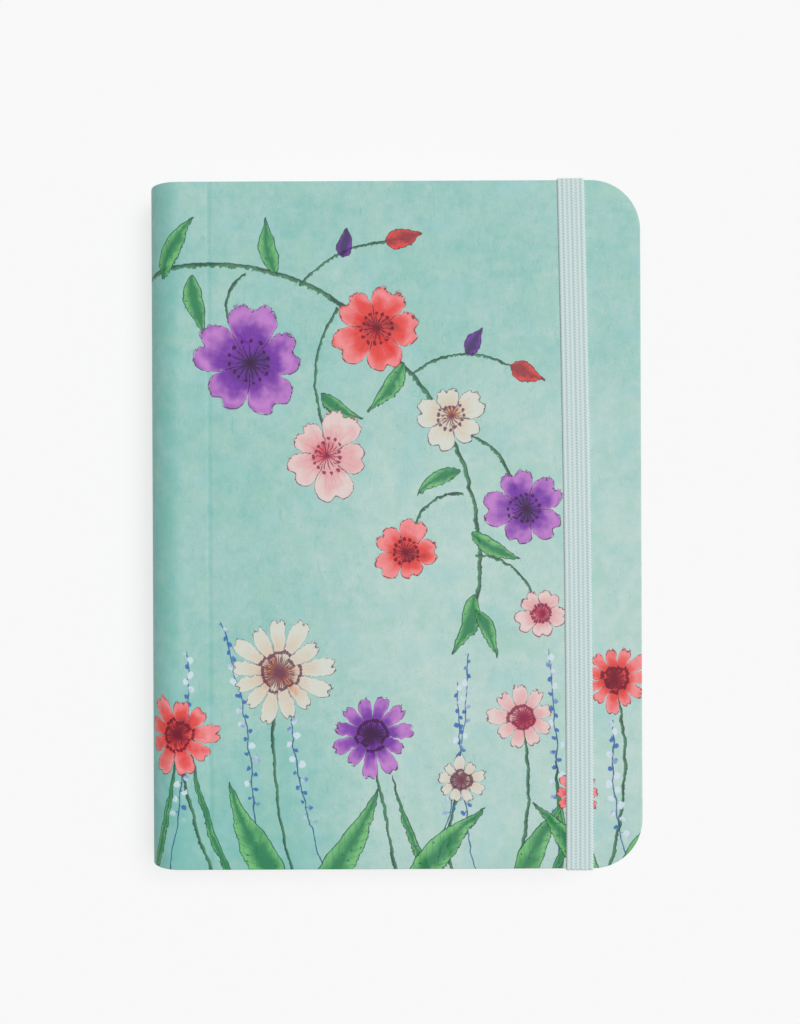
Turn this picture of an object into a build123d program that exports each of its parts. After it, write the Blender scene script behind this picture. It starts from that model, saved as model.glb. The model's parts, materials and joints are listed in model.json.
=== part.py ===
from build123d import *
from math import sqrt
import os

os.makedirs("parts", exist_ok=True)

# Closed book: +X to the fore-edge, +Y to the head, +Z from the back cover to the front
cover_height = 178.0
cover_width = 128.0
corner_radius = 12.9
edge_round = 0.4

# Layers of the case
wrap_thickness = 0.2
board_thickness = 1.5
endpaper_thickness = 0.2
spine_card_thickness = 0.8
turn_in_width = 3.0

# Hinge strip between the spine and the crease
hinge_strip_width = 7.75
crease_gap = 0.3
crease_wall = 0.45
crease_depth = 0.35
shoulder_gap = 0.35

# Leaves
index_pairs = ["ab", "cd", "ef", "gh", "ij", "kl", "mn", "op", "qr", "st", "uv", "wx", "yz"]
pages_thickness = 0.62
divider_thickness = 0.28
flyleaf_thickness = 0.15
leaf_gap = 0.05
head_square = 3.0
leaf_corner_radius = 6.0
fold_thickness = 0.2
fold_length = 0.4
taper_length = 3.0

# Index tabs
tab_depth = 5.5
tab_square = 3.0
tab_margin = 7.4
tab_root = 2.0
tab_corner_radius = 1.8

# Sewn back
back_setback = 1.6
back_bulge = 2.2
fold_round = 0.4
gutter_gap = 0.3
mull_end = 8.0
lining_thickness = 0.15
lining_end = 0.9
headband_radius = 0.55
fit = 0.05

# Elastic band
band_width = 6.7
band_thickness = 0.9
band_inset = 17.2
band_clearance = 0.1
band_bend = 0.3
tail_length = 28.0
tail_slot_clearance = 0.1

# Levels through the thickness
cover_thickness = wrap_thickness + board_thickness + endpaper_thickness
leaf_pitch = pages_thickness + divider_thickness + 2 * leaf_gap
leaf_count = len(index_pairs)
stack_bottom = cover_thickness + leaf_gap
leaves_bottom = stack_bottom + flyleaf_thickness + leaf_gap
leaves_top = leaves_bottom + leaf_count * leaf_pitch
stack_top = leaves_top + leaf_gap + flyleaf_thickness
front_inner = stack_top + leaf_gap
book_thickness = front_inner + cover_thickness
middle = book_thickness / 2

# Lines across the width
fore_edge = cover_width / 2
spine_radius = book_thickness / 2
spine_thickness = wrap_thickness + spine_card_thickness + endpaper_thickness
spine_x = spine_radius - cover_width / 2
crease_x = spine_x + hinge_strip_width
strip_right = crease_x - crease_gap / 2
cover_left = crease_x + crease_gap / 2
board_left = cover_left + crease_wall
strip_left = spine_x + shoulder_gap
strip_end = strip_right - crease_wall
gutter_face = crease_x - gutter_gap
tab_edge = fore_edge - tab_square
leaf_fore_edge = tab_edge - tab_depth
block_height = cover_height - 2 * head_square
band_x = fore_edge - band_inset
tolerance = 1e-4


def fore_edge_panel(left, right, height, radius):
    # A rectangle on the current sketch, its two fore-edge corners rounded
    with Locations(((left + right) / 2, 0)):
        panel = Rectangle(right - left, height)
    fillet(panel.vertices().group_by(Axis.X)[-1], radius)


def plain_panel(left, right, height):
    # A rectangle on the current sketch with square corners
    with Locations(((left + right) / 2, 0)):
        Rectangle(right - left, height)


def back_tuck(level):
    # How far the rounded back carries a section towards the spine
    lean = (2 * level + 1 - leaf_count) / leaf_count
    return back_bulge * (1 - lean**2)


def save(node, name):
    # One file for each node
    node.part.label = name
    export_step(node.part, "parts/" + name + ".step")


board_height = cover_height - 2 * wrap_thickness
board_radius = corner_radius - wrap_thickness
board_right = fore_edge - wrap_thickness
window_height = cover_height - 2 * turn_in_width
window_radius = corner_radius - turn_in_width
window_right = fore_edge - turn_in_width
front_board_level = front_inner + endpaper_thickness

# Front board
with BuildPart() as front_board:
    with BuildSketch(Plane.XY.offset(front_board_level)):
        fore_edge_panel(board_left, board_right, board_height, board_radius)
    extrude(amount=board_thickness)
save(front_board, "front_board")

# Printed wrap of the front cover, turned in round the board
with BuildPart() as front_wrap:
    with BuildSketch(Plane.XY.offset(front_inner)):
        fore_edge_panel(cover_left, fore_edge, cover_height, corner_radius)
    extrude(amount=cover_thickness)
    fillet(front_wrap.faces().sort_by(Axis.Z)[-1].edges(), edge_round)
    fillet(front_wrap.faces().sort_by(Axis.Z)[0].edges(), edge_round)
    with BuildSketch(Plane.XY.offset(front_board_level)):
        fore_edge_panel(board_left, board_right, board_height, board_radius)
    extrude(amount=board_thickness, mode=Mode.SUBTRACT)
    with BuildSketch(Plane.XY.offset(front_inner)):
        fore_edge_panel(board_left, window_right, window_height, window_radius)
    extrude(amount=endpaper_thickness, mode=Mode.SUBTRACT)
save(front_wrap, "front_wrap")

# Endpaper glued inside the front board
with BuildPart() as front_pastedown:
    with BuildSketch(Plane.XY.offset(front_inner)):
        fore_edge_panel(
            board_left + fit,
            window_right - fit,
            window_height - 2 * fit,
            window_radius - fit,
        )
    extrude(amount=endpaper_thickness)
save(front_pastedown, "front_pastedown")

# Pockets in the back board for the glued ends of the elastic
tail_top = wrap_thickness + board_thickness - fit
tail_bottom = tail_top - band_thickness
tail_start = cover_height / 2 - tail_length
tail_pocket_width = band_width + 2 * tail_slot_clearance
tail_pocket_height = band_thickness + 2 * fit

# Back board
with BuildPart() as back_board:
    with BuildSketch(Plane.XY.offset(wrap_thickness)):
        fore_edge_panel(board_left, board_right, board_height, board_radius)
    extrude(amount=board_thickness)
    with BuildSketch(Plane.XY.offset(tail_bottom - fit)):
        with Locations((band_x, cover_height / 2), (band_x, -cover_height / 2)):
            Rectangle(tail_pocket_width, 2 * (tail_length + fit))
    extrude(amount=tail_pocket_height, mode=Mode.SUBTRACT)
save(back_board, "back_board")

# Narrow board strips on both sides of the spine
with BuildPart() as front_hinge_strip:
    with BuildSketch(Plane.XY.offset(front_board_level)):
        plain_panel(strip_left, strip_end, board_height)
    extrude(amount=board_thickness)
save(front_hinge_strip, "front_hinge_strip")

with BuildPart() as back_hinge_strip:
    with BuildSketch(Plane.XY.offset(wrap_thickness)):
        plain_panel(strip_left, strip_end, board_height)
    extrude(amount=board_thickness)
save(back_hinge_strip, "back_hinge_strip")

# Curved card of the round spine
card_outer = spine_radius - wrap_thickness
card_inner = card_outer - spine_card_thickness
with BuildPart() as spine_card:
    with BuildSketch(Plane.XZ):
        with Locations((spine_x, middle)):
            Circle(card_outer)
            Circle(card_inner, mode=Mode.SUBTRACT)
        with Locations((spine_x - shoulder_gap + spine_radius, middle)):
            Rectangle(2 * spine_radius, book_thickness, mode=Mode.SUBTRACT)
    extrude(amount=board_height / 2, both=True)
save(spine_card, "spine_card")


def outer_edge(edge):
    # Edges of the case wrap that a hand meets, without the seams along the spine
    centre = edge.center()
    if abs(centre.X - spine_x) < tolerance and abs(centre.Y) < tolerance:
        return False
    if edge.geom_type == GeomType.CIRCLE and abs(edge.radius - spine_radius) < tolerance:
        return True
    return centre.Z < tolerance or centre.Z > book_thickness - tolerance


# Printed wrap over the back cover, the spine and the front hinge strip
with BuildPart() as case_wrap:
    with BuildSketch(Plane.XY):
        fore_edge_panel(spine_x, fore_edge, cover_height, corner_radius)
    extrude(amount=cover_thickness)
    with BuildSketch(Plane.XY.offset(front_inner)):
        plain_panel(spine_x, strip_right, cover_height)
    extrude(amount=cover_thickness)
    with BuildSketch(Plane.XZ):
        with Locations((spine_x, middle)):
            Circle(spine_radius)
            Circle(spine_radius - spine_thickness, mode=Mode.SUBTRACT)
        with Locations((spine_x + spine_radius, middle)):
            Rectangle(2 * spine_radius, book_thickness, mode=Mode.SUBTRACT)
    extrude(amount=cover_height / 2, both=True)
    fillet([edge for edge in case_wrap.edges() if outer_edge(edge)], edge_round)
    # Room for the boards, the strips and the card
    with BuildSketch(Plane.XY.offset(wrap_thickness)):
        fore_edge_panel(board_left, board_right, board_height, board_radius)
    extrude(amount=board_thickness, mode=Mode.SUBTRACT)
    with BuildSketch(Plane.XY.offset(wrap_thickness), Plane.XY.offset(front_board_level)):
        plain_panel(strip_left, strip_end, board_height)
    extrude(amount=board_thickness, mode=Mode.SUBTRACT)
    with BuildSketch(Plane.XZ):
        with Locations((spine_x, middle)):
            Circle(card_outer)
            Circle(card_inner, mode=Mode.SUBTRACT)
        with Locations((spine_x - shoulder_gap + spine_radius, middle)):
            Rectangle(2 * spine_radius, book_thickness, mode=Mode.SUBTRACT)
    extrude(amount=board_height / 2, both=True, mode=Mode.SUBTRACT)
    # Windows inside the turned-in margins
    with BuildSketch(Plane.XY.offset(wrap_thickness + board_thickness)):
        fore_edge_panel(spine_x, window_right, window_height, window_radius)
    extrude(amount=endpaper_thickness, mode=Mode.SUBTRACT)
    with BuildSketch(Plane.XY.offset(front_inner)):
        plain_panel(spine_x, strip_end, window_height)
    extrude(amount=endpaper_thickness, mode=Mode.SUBTRACT)
    with BuildSketch(Plane.XZ):
        with Locations((spine_x, middle)):
            Circle(card_inner)
            Circle(spine_radius - spine_thickness, mode=Mode.SUBTRACT)
        with Locations((spine_x - shoulder_gap + spine_radius, middle)):
            Rectangle(2 * spine_radius, book_thickness, mode=Mode.SUBTRACT)
    extrude(amount=window_height / 2, both=True, mode=Mode.SUBTRACT)
    # Crease pressed into the back
    with BuildSketch(Plane.XZ):
        with BuildLine():
            Polyline(
                (crease_x - crease_gap / 2 - crease_depth, 0),
                (crease_x, crease_depth),
                (crease_x + crease_gap / 2 + crease_depth, 0),
                close=True,
            )
        make_face()
    extrude(amount=cover_height / 2, both=True, mode=Mode.SUBTRACT)
    # Slots where the elastic leaves the back cover
    with BuildSketch(Plane.XY.offset(tail_bottom - fit)):
        with Locations((band_x, cover_height / 2), (band_x, -cover_height / 2)):
            Rectangle(tail_pocket_width, 2 * turn_in_width - 2 * fit)
    extrude(amount=tail_pocket_height, mode=Mode.SUBTRACT)
save(case_wrap, "case_wrap")

# Endpaper glued inside the back board
with BuildPart() as back_pastedown:
    with BuildSketch(Plane.XY.offset(wrap_thickness + board_thickness)):
        fore_edge_panel(
            strip_end,
            window_right - fit,
            window_height - 2 * fit,
            window_radius - fit,
        )
    extrude(amount=endpaper_thickness)
save(back_pastedown, "back_pastedown")

# Folded and glued backs of the sections
back_edge = spine_x - back_setback
with BuildPart() as sewn_gutter:
    with BuildSketch(Plane.XZ):
        with BuildLine():
            first_x = back_edge - back_tuck(0)
            Line((gutter_face, stack_bottom), (first_x, stack_bottom))
            Line((first_x, stack_bottom), (first_x, leaves_bottom))
            for level in range(leaf_count):
                fold_x = back_edge - back_tuck(level)
                low = leaves_bottom + level * leaf_pitch
                high = low + leaf_pitch
                ThreePointArc((fold_x, low), (fold_x - fold_round, (low + high) / 2), (fold_x, high))
                if level < leaf_count - 1:
                    next_x = back_edge - back_tuck(level + 1)
                    Line((fold_x, high), (next_x, high))
            last_x = back_edge - back_tuck(leaf_count - 1)
            Line((last_x, leaves_top), (last_x, stack_top))
            Line((last_x, stack_top), (gutter_face, stack_top))
            Line((gutter_face, stack_top), (gutter_face, stack_bottom))
        make_face()
    extrude(amount=block_height / 2, both=True)
save(sewn_gutter, "sewn_gutter")

# Arc that the mull follows behind the folds
mull_edge = back_edge - fold_round - 2 * fit
mull_half = front_inner - middle
mull_arc_radius = (mull_half**2 + back_bulge**2) / (2 * back_bulge)
mull_arc_x = mull_edge - back_bulge + mull_arc_radius


def back_arc_band(radius, thickness, half):
    # A curved strip on the current sketch, parallel to the rounded back
    outer = radius + thickness
    with Locations((mull_arc_x, middle)):
        Circle(outer)
        Circle(radius, mode=Mode.SUBTRACT)
    with Locations((mull_arc_x - outer / 2, middle)):
        Rectangle(outer + 2 * fit, 2 * half, mode=Mode.INTERSECT)


# Gauze round the sewn backs, with a flange under each hinge strip
mull_thickness = endpaper_thickness
mull_left = mull_edge - mull_thickness
flange_length = strip_end - fit - mull_left
with BuildPart() as mull:
    with BuildSketch(Plane.XZ):
        back_arc_band(mull_arc_radius, mull_thickness, mull_half)
        with Locations(
            (mull_left + flange_length / 2, front_inner + mull_thickness / 2),
            (mull_left + flange_length / 2, cover_thickness - mull_thickness / 2),
        ):
            Rectangle(flange_length, mull_thickness)
    extrude(amount=block_height / 2 - mull_end, both=True)
save(mull, "mull")

# Paper lining over the gauze
with BuildPart() as spine_lining:
    with BuildSketch(Plane.XZ):
        back_arc_band(mull_arc_radius + mull_thickness + fit, lining_thickness, mull_half - lining_end)
    extrude(amount=block_height / 2 - mull_end / 2, both=True)
save(spine_lining, "spine_lining")

# Rolled bands over the head and the tail of the sewn backs
band_arc_x = mull_edge + headband_radius
band_arc_centre = band_arc_x - back_bulge + mull_arc_radius
band_arc_half = mull_half - 2 * headband_radius
band_arc_end = band_arc_centre - sqrt(mull_arc_radius**2 - band_arc_half**2)
roll_level = block_height / 2 + headband_radius + fit
for roll_name, roll_y in (("headband", roll_level), ("tailband", -roll_level)):
    with BuildPart() as roll:
        with BuildLine(Plane.XZ.offset(-roll_y)) as roll_path:
            ThreePointArc(
                (band_arc_end, middle - band_arc_half),
                (band_arc_x - back_bulge, middle),
                (band_arc_end, middle + band_arc_half),
            )
        roll_start = Plane(origin=roll_path.line @ 0, z_dir=roll_path.line % 0)
        with BuildSketch(roll_start):
            Circle(headband_radius)
        sweep()
    save(roll, roll_name)

# Free halves of the endpapers
with BuildPart() as front_flyleaf:
    with BuildSketch(Plane.XY.offset(leaves_top + leaf_gap)):
        fore_edge_panel(crease_x + fold_length, leaf_fore_edge, block_height, leaf_corner_radius)
    extrude(amount=flyleaf_thickness)
save(front_flyleaf, "front_flyleaf")

with BuildPart() as back_flyleaf:
    with BuildSketch(Plane.XY.offset(stack_bottom)):
        fore_edge_panel(gutter_face + fit, leaf_fore_edge, block_height, leaf_corner_radius)
    extrude(amount=flyleaf_thickness)
save(back_flyleaf, "back_flyleaf")

# Pages and index dividers, the first pair of letters nearest the front cover
tab_pitch = (block_height - 2 * tab_margin) / leaf_count
for order, pair in enumerate(index_pairs):
    level = leaf_count - 1 - order
    group_bottom = leaves_bottom + level * leaf_pitch
    fold_level = group_bottom + leaf_pitch / 2
    page_edge = leaf_fore_edge - back_tuck(level)
    pages_bottom = group_bottom + leaf_gap
    pages_top = pages_bottom + pages_thickness

    with BuildPart() as pages:
        with BuildSketch(Plane.XZ):
            with BuildLine():
                Polyline(
                    (crease_x, fold_level - fold_thickness / 2),
                    (crease_x, fold_level + fold_thickness / 2),
                    (crease_x + fold_length, pages_top),
                    (page_edge, pages_top),
                    (page_edge, pages_bottom),
                    (crease_x + taper_length, pages_bottom),
                    close=True,
                )
            make_face()
        extrude(amount=block_height / 2, both=True)
        fillet(pages.edges().filter_by(Axis.Z).group_by(Axis.X)[-1], leaf_corner_radius)
    save(pages, "pages_" + pair)

    tab_y = block_height / 2 - tab_margin - (order + 0.5) * tab_pitch
    with BuildPart() as divider:
        with BuildSketch(Plane.XY.offset(pages_top + leaf_gap)) as divider_outline:
            fore_edge_panel(crease_x + taper_length, page_edge, block_height, leaf_corner_radius)
            with Locations((page_edge + (tab_depth - tab_root) / 2, tab_y)):
                Rectangle(tab_depth + tab_root, tab_pitch)
            fillet(divider_outline.vertices().group_by(Axis.X)[-1], tab_corner_radius)
        extrude(amount=divider_thickness)
    save(divider, "divider_" + pair)

# Elastic band over the front, down past the head and the foot
band_inner = cover_height / 2 + band_clearance
band_outer = band_inner + band_thickness
band_top = book_thickness + fit + band_thickness
band_split = cover_thickness + wrap_thickness
with BuildPart() as elastic_band:
    with BuildSketch(Plane.YZ.offset(band_x - band_width / 2)):
        with Locations((0, (band_top + band_split) / 2)):
            loop = Rectangle(2 * band_outer, band_top - band_split)
        fillet(loop.vertices().group_by(Axis.Y)[-1], band_bend + band_thickness)
    extrude(amount=band_width)
    with BuildSketch(Plane.YZ.offset(band_x - band_width / 2)):
        with Locations((0, (band_top - band_thickness + band_split) / 2)):
            hole = Rectangle(2 * band_inner, band_top - band_thickness - band_split)
        fillet(hole.vertices().group_by(Axis.Y)[-1], band_bend)
    extrude(amount=band_width, mode=Mode.SUBTRACT)
save(elastic_band, "elastic_band")

# Ends of the elastic, glued between the back board and its endpaper
for tail_name, side in (("band_tail_head", 1), ("band_tail_foot", -1)):
    with BuildPart() as tail:
        with BuildSketch(Plane.YZ.offset(band_x - band_width / 2)):
            with Locations((side * (tail_start + band_outer) / 2, (tail_bottom + tail_top) / 2)):
                Rectangle(band_outer - tail_start, band_thickness)
            with Locations((side * (band_inner + band_outer) / 2, (tail_bottom + band_split - fit) / 2)):
                Rectangle(band_thickness, band_split - fit - tail_bottom)
        extrude(amount=band_width)
        outer_corner = tail.edges().filter_by(Axis.X).filter_by(
            lambda edge: abs(edge.center().Z - tail_bottom) < tolerance
            and abs(edge.center().Y - side * band_outer) < tolerance
        )
        fillet(outer_corner, band_thickness - fit)
    save(tail, tail_name)
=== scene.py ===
import json
import math
from functools import partialmethod

import bpy
import bmesh
import numpy as np
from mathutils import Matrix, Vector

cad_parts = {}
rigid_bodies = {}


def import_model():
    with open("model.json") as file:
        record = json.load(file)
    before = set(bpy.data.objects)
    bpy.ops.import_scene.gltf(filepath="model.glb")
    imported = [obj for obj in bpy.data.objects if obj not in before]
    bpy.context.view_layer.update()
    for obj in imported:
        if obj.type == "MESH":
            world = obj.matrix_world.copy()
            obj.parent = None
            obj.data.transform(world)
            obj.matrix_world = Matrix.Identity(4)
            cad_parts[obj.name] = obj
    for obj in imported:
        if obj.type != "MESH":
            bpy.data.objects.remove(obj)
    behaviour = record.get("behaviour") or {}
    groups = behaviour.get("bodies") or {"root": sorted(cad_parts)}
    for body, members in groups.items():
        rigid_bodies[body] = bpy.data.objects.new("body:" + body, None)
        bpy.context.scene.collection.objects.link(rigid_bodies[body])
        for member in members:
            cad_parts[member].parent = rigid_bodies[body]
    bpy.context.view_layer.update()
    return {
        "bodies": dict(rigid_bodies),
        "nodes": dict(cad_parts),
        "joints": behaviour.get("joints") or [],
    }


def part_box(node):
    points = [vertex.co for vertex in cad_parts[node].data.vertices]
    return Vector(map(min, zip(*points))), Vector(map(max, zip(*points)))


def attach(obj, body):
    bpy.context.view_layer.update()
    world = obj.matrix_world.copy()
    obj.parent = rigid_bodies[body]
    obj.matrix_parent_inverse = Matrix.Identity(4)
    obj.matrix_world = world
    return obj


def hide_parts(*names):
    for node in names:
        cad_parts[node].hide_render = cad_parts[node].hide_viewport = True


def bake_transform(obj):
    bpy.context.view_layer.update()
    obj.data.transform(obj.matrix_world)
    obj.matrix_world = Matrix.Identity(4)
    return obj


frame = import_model()

# Lengths are in millimetres until a mesh is made
MM = 0.001


def node_box(node):
    # Lowest and highest corner of a CAD node
    low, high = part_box(node)
    return np.array(low) / MM, np.array(high) / MM


def joint(name):
    return next(j for j in frame["joints"] if j["name"] == name)


def joint_place(name):
    # Where a joint turns
    return np.array(joint(name)["pos_m"]) / MM


def leaf_fold(pair):
    # Level of a section's fold, and how far the section turns in radians
    name = "leaves_" + pair + "_turn"
    return joint_place(name)[2], math.radians(joint(name)["range_deg"][1])


# Sizes read from the frame
front_low, front_high = node_box("front_wrap")
fore_edge = front_high[0]
half_height = front_high[1]
book_thickness = front_high[2]
front_inner = front_low[2]
cover_thickness = book_thickness - front_inner
middle = book_thickness / 2
spine_radius = middle
spine_x = spine_radius - fore_edge
crease_x = joint_place("front_cover_hinge")[0]
strip_end = node_box("front_hinge_strip")[1][0]
board_left = node_box("front_board")[0][0]
band_low, band_high = node_box("elastic_band")
band_x = (band_low[0] + band_high[0]) / 2
band_width = band_high[0] - band_low[0]
tail_low = node_box("band_tail_head")[0]

# Sizes of the paper and the board, as in the solids
wrap = 0.2
edge_round = 0.4
corner_radius = 12.9
turn_in = 3.0
fit = 0.05
corner_x = fore_edge - corner_radius
corner_y = half_height - corner_radius

# The joint: a faint groove, and the run and thickness of the paper that bends there
groove_half = 1.0
groove_depth = 0.1
joint_paper = 0.05

# Leaves: the share of its room that a sheet fills, how unevenly sheets are cut, their gaps at the fold,
# the dip of the flyleaf beside its fold and the rise of the headbands
leaf_corner = 6.0
sheets_in_section = 5
sheet_span = (0.1, 0.88)
head_trim = 0.1
fore_trim = 0.12
root_gap = 0.15
fold_gap = 0.04
sheet_swing = 0.17
card_swing = 0.3
fold_lobe = 0.4
endpaper_ply = 0.15
endpaper_gap = 0.1
dip_width = 5.6
dip_depth = 0.3
headband_rise = 2.2

# Print on the leaves: the ruled area and the pitch of its lines, and how far a tab's tint laps the pages
ruled_left = -40.0
ruled_right = 48.0
ruled_half = 78.0
rule_pitch = 8.0
tint_lap = 1.4
print_fade = 0.2

# The elastic as it was pulled on: it leans and bows a little. Its stitches lie along the ribs, and slant
# against each other from one rib to the next
band_lean = -0.0096
band_bow = 0.55
spread_share = 0.05
scallop_share = 0.012
elastic_thickness = 0.5
elastic_crown = 0.28
elastic_fall = 0.62
edge_sharpness = 24
strap_thickness = 0.34
strap_gap = 0.1
bend_share = 0.9
notch_gap = 0.02
notch_run = 0.12
elastic_ribs = 6
rib_rise = 0.1
stitch_rise = 0.02
stitch_pitch = 0.772
stitch_slant = 0.8
rows_per_stitch = 4
columns_per_rib = 6

# The photograph's frame and where the camera stood
image_width = 800
image_height = 1024
camera_height = 290.0
mm_per_pixel = 0.2583
book_centre_pixel = (393.9, 525.0)
camera_roll = math.radians(-0.24)


def ink(red, green, blue):
    # A colour as a screen shows it, from 0 to 255, made linear
    channels = []
    for channel in (red, green, blue):
        share = channel / 255
        channels.append(share / 12.92 if share <= 0.04045 else ((share + 0.055) / 1.055) ** 2.4)
    return (*channels, 1.0)


class Field:
    """A number or colour over a surface. Formulas written with fields become shader nodes."""

    def __init__(self, socket):
        self.socket = socket

    def tree(self):
        return self.socket.id_data

    def math(self, operation, *others):
        node = self.tree().nodes.new("ShaderNodeMath")
        node.operation = operation
        for place, value in enumerate((self, *others)):
            plug(node.inputs[place], value)
        return Field(node.outputs[0])

    __add__ = partialmethod(math, "ADD")
    __sub__ = partialmethod(math, "SUBTRACT")
    __mul__ = partialmethod(math, "MULTIPLY")
    __truediv__ = partialmethod(math, "DIVIDE")
    __pow__ = partialmethod(math, "POWER")
    __abs__ = partialmethod(math, "ABSOLUTE")
    floor = partialmethod(math, "FLOOR")
    part = partialmethod(math, "FRACT")
    sine = partialmethod(math, "SINE")
    root = partialmethod(math, "SQRT")
    most = partialmethod(math, "MAXIMUM")

    def less_from(self, total):
        return self * -1 + total

    def ramp(self, start, end, low=0.0, high=1.0):
        # A smooth step from low at start to high at end
        node = self.tree().nodes.new("ShaderNodeMapRange")
        node.interpolation_type = "SMOOTHSTEP"
        fill(node, Value=self, From_Min=start, From_Max=end, To_Min=low, To_Max=high)
        return Field(node.outputs["Result"])

    def mixed(self, colour, share):
        # This colour with another painted over it
        node = self.tree().nodes.new("ShaderNodeMix")
        node.data_type = "RGBA"
        plug(node.inputs[0], share)
        plug(node.inputs[6], self)
        plug(node.inputs[7], colour)
        return Field(node.outputs[2])


def plug(socket, value):
    # A field is linked to a socket, and a plain value is written on it
    if isinstance(value, Field):
        socket.id_data.links.new(value.socket, socket)
    else:
        socket.default_value = value


def fill(node, **values):
    # Sockets of a node by their names, written with an underscore for a space
    for name, value in values.items():
        plug(node.inputs[name.replace("_", " ")], value)


def length(x, y):
    return (x * x + y * y).root()


def vector(x, y):
    node = x.tree().nodes.new("ShaderNodeCombineXYZ")
    fill(node, X=x, Y=y)
    return Field(node.outputs[0])


def noise(place, scale, detail=2.0, roughness=0.5):
    # Soft random clouds, from about -0.5 to 0.5
    node = place.tree().nodes.new("ShaderNodeTexNoise")
    node.noise_dimensions = "2D"
    fill(node, Vector=place, Scale=scale, Detail=detail, Roughness=roughness)
    return Field(node.outputs[0]) - 0.5


def chance(number):
    # One random share from 0 to 1 for each whole number
    node = number.tree().nodes.new("ShaderNodeTexWhiteNoise")
    node.noise_dimensions = "1D"
    fill(node, W=number)
    return Field(node.outputs["Value"])


def first_colour(tree, colour):
    # A plain colour to paint on
    node = tree.nodes.new("ShaderNodeRGB")
    node.outputs[0].default_value = colour
    return Field(node.outputs[0])


def new_material(name, roughness):
    material = bpy.data.materials.new(name)
    material.use_nodes = True
    tree = material.node_tree
    shader = tree.nodes["Principled BSDF"]
    fill(shader, Roughness=roughness)
    return material, shader, tree


def split(place):
    # The numbers that make up a place
    node = place.tree().nodes.new("ShaderNodeSeparateXYZ")
    plug(node.inputs[0], place)
    return [Field(socket) for socket in node.outputs]


def printed_place(tree):
    # Place on a piece's own unrolled surface
    node = tree.nodes.new("ShaderNodeUVMap")
    node.uv_map = "print"
    return split(Field(node.outputs[0]))[:2]


def solid_place(tree):
    # Place in the object's own frame, in millimetres
    node = tree.nodes.new("ShaderNodeTexCoord")
    scale = tree.nodes.new("ShaderNodeVectorMath")
    scale.operation = "SCALE"
    fill(scale, Scale=1 / MM)
    tree.links.new(node.outputs["Object"], scale.inputs[0])
    return split(Field(scale.outputs[0]))


def set_surface(shader, colour, height, depth):
    # A colour, and fine relief from a field with its depth in millimetres
    node = shader.id_data.nodes.new("ShaderNodeBump")
    fill(node, Height=height, Distance=depth * MM)
    fill(shader, Base_Color=colour, Normal=Field(node.outputs[0]))


# Motifs of the printed design
aimed = ("Foot X", "Foot Y", "Along X", "Along Y", "Length", "Bend")


def new_motif(name, colours, numbers):
    # An empty node group that paints one motif over a colour
    group = bpy.data.node_groups.new(name, "ShaderNodeTree")
    for socket in ("Under", *colours):
        group.interface.new_socket(socket, in_out="INPUT", socket_type="NodeSocketColor")
    for socket in ("X", "Y", "Wash", "Wobble", *numbers):
        group.interface.new_socket(socket, in_out="INPUT", socket_type="NodeSocketFloat")
    group.interface.new_socket("Over", in_out="OUTPUT", socket_type="NodeSocketColor")
    inside = group.nodes.new("NodeGroupInput")
    fields = {socket.name: Field(socket) for socket in inside.outputs if socket.name}
    return group, fields


def close_motif(group, colour):
    fill(group.nodes.new("NodeGroupOutput"), Over=colour)


def from_centre(f):
    return f["X"] - f["Centre X"], f["Y"] - f["Centre Y"]


def from_foot(f):
    # Places along and beside the line that a motif follows from its foot
    across = f["X"] - f["Foot X"]
    up = f["Y"] - f["Foot Y"]
    return across * f["Along X"] + up * f["Along Y"], up * f["Along X"] - across * f["Along Y"]


def arch(share):
    # A rise from 0 at both ends of a line to 1 at its middle
    return (share * share.less_from(1.0)).most(0.0) * 4


def blossom_motif():
    # Round petals about a heart, washed in three colours and drawn round in ink
    group, f = new_motif(
        "blossom",
        ("Heart", "Middle", "Rim", "Ink"),
        ("Centre X", "Centre Y", "Radius", "Turn", "Petals", "Parting", "Notch"),
    )
    across, up = from_centre(f)
    away = length(across, up)
    turn = (up.math("ARCTAN2", across) / (2 * math.pi) + f["Turn"]) * f["Petals"]
    petal = turn.floor()
    side = abs(turn - petal - 0.5) * 2
    own = chance(petal.math("FLOORED_MODULO", f["Petals"]) + f["Centre X"])
    rounding = (side * side * side).less_from(1.0).root() * f["Parting"]
    notch = side.ramp(0.3, 0.0) * f["Notch"]
    reach = f["Radius"] * (own * 0.24 + 0.8) * (rounding + f["Parting"].less_from(1.0) - notch)
    share = away / reach
    inside = share.ramp(1.03, 0.97)
    tone = share + f["Wash"] * 0.9 + own * 0.2
    wash = f["Heart"].mixed(f["Middle"], tone.ramp(0.12, 0.55))
    wash = wash.mixed(f["Rim"], tone.ramp(0.55, 1.1))
    veins = (side * 17 + f["Wobble"] * 3).sine().ramp(0.72, 1.0) * share.ramp(0.95, 0.35)
    wash = wash.mixed(f["Heart"], veins * 0.35)
    pool = share.ramp(0.84, 1.0) * f["Wash"].ramp(-0.1, 0.25)
    wash = wash.mixed(f["Middle"], pool * 0.7)
    colour = f["Under"].mixed(wash, inside * 0.94)
    rim_line = abs(share - 1.0 + f["Wobble"] * 0.14) * reach
    seam_line = side.less_from(1.0) * away * math.pi / f["Petals"]
    seam = seam_line.ramp(0.26, 0.06) * share.ramp(0.2, 0.4) * inside
    drawn = rim_line.ramp(0.26, 0.07).most(seam) * f["Wobble"].ramp(-0.25, 0.05, 0.25, 0.85)
    colour = colour.mixed(f["Ink"], drawn)
    spoke = (turn * 3).part() - 0.5
    thread = abs(spoke) * away * 2.0 / f["Petals"]
    threads = thread.ramp(0.22, 0.05) * (away / f["Radius"]).ramp(0.34, 0.24)
    bead = length(spoke * away * 2.0 / f["Petals"], away - f["Radius"] * (own * 0.12 + 0.28))
    colour = colour.mixed(f["Ink"], threads.most(bead.ramp(0.55, 0.38)) * 0.85)
    close_motif(group, colour)


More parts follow.
